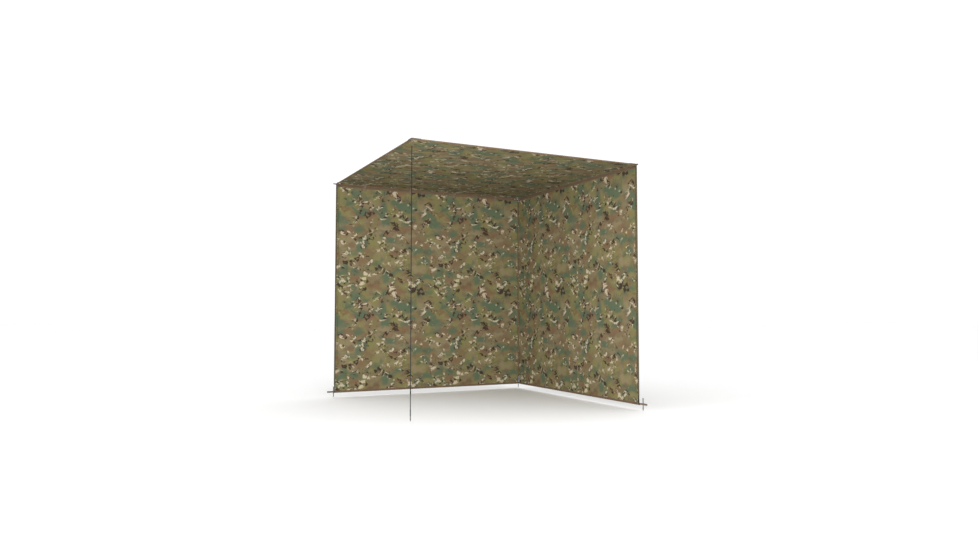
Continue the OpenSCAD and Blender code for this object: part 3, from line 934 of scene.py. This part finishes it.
patches = Bundle()
PATCH_LOW = (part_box("roof_corner_patches")[0].z - GROUND) / MM - ROD
PATCH_HIGH = (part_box("roof_corner_patches")[1].z - GROUND) / MM - ROD
PATCH_IN = (corner.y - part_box("roof_corner_patches")[1].y) / MM
PATCH = 80.0
PAST_ROD = 6.0


def patch(u0, u1, w0, w1, seed):
    """A square of doubled cloth with rounded corners and a folded rim, in roof coordinates."""
    n = 22
    cu, cw, hu, hw = (u0 + u1) / 2, (w0 + w1) / 2, (u1 - u0) / 2, (w1 - w0) / 2
    radius = 7.0

    def outline_point(x, y):
        px, py = x * hu, y * hw
        k = max(abs(x), abs(y))
        if k < 1e-6:
            return px, py, 0.0
        ex, ey = px / k, py / k
        qx, qy = abs(ex) - (hu - radius), abs(ey) - (hw - radius)
        if qx > 0 and qy > 0:
            d = math.hypot(qx, qy)
            ex = math.copysign(hu - radius + qx * radius / d, ex)
            ey = math.copysign(hw - radius + qy * radius / d, ey)
        return ex * k, ey * k, k

    height = PATCH_HIGH - PATCH_LOW - 0.12
    top, under = [], []
    for j in range(n + 1):
        for i in range(n + 1):
            x, y = math.sin((i / n - 0.5) * math.pi), math.sin((j / n - 0.5) * math.pi)
            px, py, k = outline_point(x, y)
            inside = min(hu, hw) * (1 - k)
            edge = min(1.0, inside / 1.0) ** 0.5 if inside > 0 else 0.0
            seam = math.exp(-((inside - 5.0) / 1.3) ** 2)
            z = height * (0.45 + 0.47 * edge) - 0.20 * seam
            z += 0.07 * rough(px / 14, py / 14, seed=seed) * (1 if k < 0.99 else 0)
            top.append((cu + px, cw + py, PATCH_LOW + z))
            under.append((cu + px, cw + py, PATCH_LOW + 0.04))
    m = n + 1
    verts = np.array(top + under)
    faces = []
    for j in range(n):
        for i in range(n):
            a, b, c, d = j * m + i, j * m + i + 1, (j + 1) * m + i + 1, (j + 1) * m + i
            faces.append((a, b, c, d))
            faces.append(tuple(m * m + k for k in (d, c, b, a)))
    rim = [i for i in range(m)] + [j * m + n for j in range(1, m)] + [n * m + i for i in range(n - 1, -1, -1)]
    rim += [j * m for j in range(n - 1, 0, -1)]
    for a, b in zip(rim, rim[1:] + rim[:1]):
        faces.append((b, a, a + m * m, b + m * m))
    uvs = [(verts[k][0] * MM, verts[k][1] * MM) for f in faces for k in f]
    patches.add(on_roof_back(verts), faces, uvs, [0] * len(faces))
    # A square of stitches inside the rim, and a cross over the middle
    z = PATCH_LOW + height * 0.92 - 0.12
    a, b, c, d = u0 + 5, u1 - 5, w0 + 5, w1 - 5
    square = [(a, c, z), (b, c, z), (b, d, z), (a, d, z), (a, c, z)]
    rising = [(a + 12, c + 12, z + 0.1), (b - 12, d - 12, z + 0.1)]
    falling = [(a + 12, d - 12, z + 0.1), (b - 12, c + 12, z + 0.1)]
    for path in (square, rising, falling):
        roof_thread.row(on_roof_back, path, [(0, 0, 1)] * len(path), *FINE)


for k, (u0, u1) in enumerate(((-PAST_ROD, PATCH - PAST_ROD), (BACK + PAST_ROD - PATCH, BACK + PAST_ROD))):
    patch(u0, u1, PATCH_IN, PATCH, 91 + k)
    patch(u0, u1, SIDE + PAST_ROD - PATCH, SIDE + PAST_ROD, 95 + k)
obj = patches.piece("roof_corner_reinforcements", [hem_tape], "roof")
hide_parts("roof_corner_patches")

# ---------------------------------------------------------------- webbing


def strip(bundle, place, path, low, high, thick, seed):
    """A strap along a path of (a, b) points, its width from low to high on the third coordinate."""
    pts = spaced(path, 4.0)
    n = len(pts)
    dist = lengths(pts)
    half, mid, wide = thick / 2, (low + high) / 2, (high - low) / 2
    face = [(half * 0.55, -wide), (half, -wide + 0.45), (half, -wide * 0.4), (half, wide * 0.4),
            (half, wide - 0.45), (half * 0.55, wide)]
    outline = face + [(-o, w) for o, w in reversed(face)]
    rings = []
    for i, p in enumerate(pts):
        a, b = pts[max(0, i - 1)], pts[min(n - 1, i + 1)]
        t = Vector((b[0] - a[0], b[1] - a[1])).normalized()
        nx, ny = -t.y, t.x
        fray = 0.12 * rough(dist[i] / 7, seed=seed)
        rings.append([(p[0] + nx * o, p[1] + ny * o,
                       mid + w * 0.994 + fray * (1 if w > 0 else -0.4) - 0.1 * w / wide) for o, w in outline])
    around = np.array(lengths(outline + [outline[0]])) * MM
    bundle.add(*sweep(place(np.array(rings)), np.array(dist) * MM, around))
    return pts


LOOP_Z = (3.0, 17.0)
LOOP_V = (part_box("corner_stake")[0].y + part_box("corner_stake")[1].y) / 2
LOOP_V = (LOOP_V - corner.y) / MM
LOOP_R = 6.5
WEB = 1.3


def stake_loop(name, place, node, body, sew, at, sign, reach, near, seed):
    """A webbing loop past a pole, both ends sewn to the wall's outer face."""
    b = Bundle()
    x0, x1 = near + LOOP_R, reach - LOOP_R
    r = LOOP_R - WEB / 2 - 0.05
    first = LOOP_V - r
    second = first + WEB + 0.06
    r_end = (LOOP_V + r - second) / 2
    # From the sewn end out to the tip, back on the far side, round, and on top of the first layer
    sewn = V_OUT + WEB / 2 + 0.06
    path = [(-43.0, sewn), (-14.0, sewn), (min(-8.0, x0 - 8.0), first), (x1, first)]
    path += arc(x1, LOOP_V, r, -90, 90, 16)[1:]
    path += [(x0, LOOP_V + r)]
    path += arc(x0, LOOP_V + r - r_end, r_end, 90, 270, 14)[1:]
    path += [(min(-9.5, x0 - 8.0), second), (-15.5, sewn + WEB + 0.06), (-41.0, sewn + WEB + 0.06)]
    path = [(at + sign * x, y) for x, y in path]
    strip(b, place, path, *LOOP_Z, WEB, seed)
    obj = b.piece(name, [strap], body)
    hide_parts(node)
    # A bar tack near the pole and a box of stitches on the sewn end
    face = sewn + WEB * 1.5 + 0.09
    z0, z1 = LOOP_Z[0] + 2.0, LOOP_Z[1] - 2.0
    box = [(-39, z0), (-20, z0), (-20, z1), (-39, z1), (-39, z0), (-20, z1)]
    cross = [(-39, z1), (-20, z0)]
    zig = [(-17.5 + 1.1 * (k % 2) + 0.25 * k, z0 + (z1 - z0) * (k % 2)) for k in range(14)]
    for line, pitch, size in ((box, 2.6, 1.9), (cross, 2.6, 1.9), (zig, 2.6, 2.4)):
        points = [(at + sign * x, face, z) for x, z in line]
        sew.row(place, points, [(0, 1, 0)] * len(line), pitch, size, 0.28, 0.5)


REACH_LEFT = (left.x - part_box("left_stake_loop")[0].x) / MM
REACH_CORNER = (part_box("corner_stake_loop")[1].x - corner.x) / MM
REACH_RIGHT = (right.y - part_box("right_stake_loop")[0].y) / MM
for key, place, body, sew, at, sign, reach, near, seed in (
        ("left", on_back, "back_wall", back_thread, BACK, 1, REACH_LEFT, -8, 101),
        ("corner", on_back, "back_wall", back_thread, 0.0, -1, REACH_CORNER, -6, 103),
        ("right", on_side, "side_wall", side_thread, SIDE, 1, REACH_RIGHT, 10, 107)):
    stake_loop(key + "_stake_webbing", place, key + "_stake_loop", body, sew, at, sign, reach, near, seed)

# Hinge loops: a strap over the back rod, both ends sewn to the wall's top hem
RING_R = 4.28
RING_SLACK = 1.75
hinges = Bundle()


def hinge_place(p):
    return on_back(np.stack([p[..., 2], p[..., 0], p[..., 1]], -1))


for k, x in enumerate(HINGE_X):
    near_wall, off_wall = V_IN - 0.42, V_IN - 1.14
    z = ROD
    path = [(near_wall, z - 49.5), (near_wall, z - 6.5), (near_wall - 0.25, z - 3.4)]
    # The loop stands up loosely over the rod
    for a in range(-4, 262, 11):
        r = RING_R + RING_SLACK * max(0.0, math.sin(math.radians(a)))
        path.append((r * math.cos(math.radians(a)), z + r * math.sin(math.radians(a))))
    path += [(1.3, z - 4.7), (3.2, z - 6.6), (off_wall - 0.25, z - 9.5), (off_wall, z - 13.0)]
    path.append((off_wall, z - 48.8))
    strip(hinges, hinge_place, path, x - 12.4, x + 12.4, 0.66, 111 + k)
    face = off_wall - 0.36
    low, high = z - 46.0, z - 30.0
    a, b = x - 10.0, x + 10.0
    box = [(a, low), (b, low), (b, high), (a, high), (a, low), (b, high)]
    tack = [(a + 20.0 * (j % 2), z - 17.0 + 0.35 * j) for j in range(10)]
    for line, pitch, size in ((box, 2.8, 2.0), ([(a, high), (b, low)], 2.8, 2.0), (tack, 2.8, 2.6)):
        for y, out in ((face, -1), (V_OUT + 0.02, 1)):
            points = [(u, y, w) for u, w in line]
            back_thread.row(on_back, points, [(0, out, 0)] * len(line), pitch, size, 0.26, 0.5)
obj = hinges.piece("roof_hinge_webbing", [strap], "back_wall")
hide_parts("roof_hinge_loops")

# ---------------------------------------------------------------- stitching, one piece for each body

sewn_back = back_thread.piece("back_wall_stitching", sewing, "back_wall")
sewn_side = side_thread.piece("side_wall_stitching", sewing, "side_wall")
sewn_roof = roof_thread.piece("roof_stitching", sewing_light, "roof")

# ---------------------------------------------------------------- finishes on the carried-over nodes

FINISH = (
    (tube_z, "left_pole corner_pole right_pole front_pole"),
    (tube_x, "roof_back_rod roof_front_rod"),
    (tube_y, "roof_left_rod roof_right_rod"),
    (ferrule_black, "left_pole_ferrule corner_pole_ferrule right_pole_ferrule front_pole_ferrule"),
    (spike_steel, "left_spike corner_spike right_spike front_spike"),
    (spigot_alloy, "back_pole_spigots right_pole_spigots front_pole_spigots roof_rod_spigots"),
    (stake_steel, "left_stake corner_stake right_stake"),
    (pin_steel, "front_pivot_pin"),
    (cap_black, "left_pole_cap corner_pole_cap right_pole_cap"),
    (hub_nylon, "left_hub corner_hub right_hub front_hub front_pole_knuckle"),
    (tip_rubber, "back_rod_tip"),
)
for material, names in FINISH:
    for name in names.split():
        for place_slot in nodes[name].material_slots:
            place_slot.material = material

# ---------------------------------------------------------------- declarations, floor, size and end

floor_mesh = bpy.data.meshes.new("floor")
floor_mesh.from_pydata([(-60, -60, 0), (60, -60, 0), (60, 60, 0), (-60, 60, 0)], [], [(0, 1, 2, 3)])
floor = bpy.data.objects.new("floor", floor_mesh)
scene.collection.objects.link(floor)
floor_shader = Shader("floor_pale")
grain = floor_shader.noise(floor_shader.place(), 3.0, 3)
floor_mesh.materials.append(floor_shader.finish(
    floor_shader.mix(grain, (0.915, 0.915, 0.915, 1), (0.93, 0.93, 0.93, 1)), 0.9))
floor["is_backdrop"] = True

low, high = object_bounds()
({"cad": [[round(c, 5) for c in cad_low], [round(c, 5) for c in cad_high]],
           "visual": [[round(c, 5) for c in low], [round(c, 5) for c in high]]})
